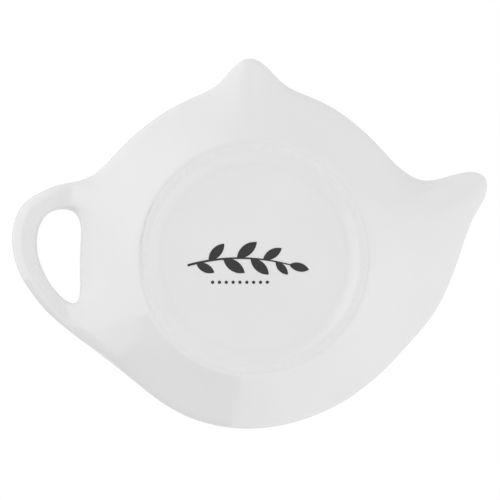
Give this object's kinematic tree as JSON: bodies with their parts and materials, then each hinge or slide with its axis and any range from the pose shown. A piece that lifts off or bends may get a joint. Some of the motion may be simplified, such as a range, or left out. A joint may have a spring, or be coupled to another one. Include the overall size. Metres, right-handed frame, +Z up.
{
  "type": "tea bag rest",
  "caption": "Small white glazed dish with a teapot outline: spout, lid knob, looped handle, sloping wall, flat well and a round foot ring.",
  "frame": {"origin": "on the axis of the round foot ring, in the plane of the table that it stands on", "axes": "+Z up out of the dish, +X towards the handle, -X towards the spout, +Y towards the lid knob"},
  "size_m": [0.1199, 0.0935, 0.014],
  "materials": {
    "glaze": "glossy white glaze",
    "bare_foot": "bare, finely sanded",
    "print": "black print under the glaze"
  },
  "bodies": {
    "root": {"well_floor": "glaze", "belly": "glaze", "spout": "glaze", "spout_shoulder": "glaze", "knob": "glaze", "handle_shoulder": "glaze", "handle": "glaze", "foot_ring": "bare_foot", "backstamp": "print"}
  },
  "joints": []
}
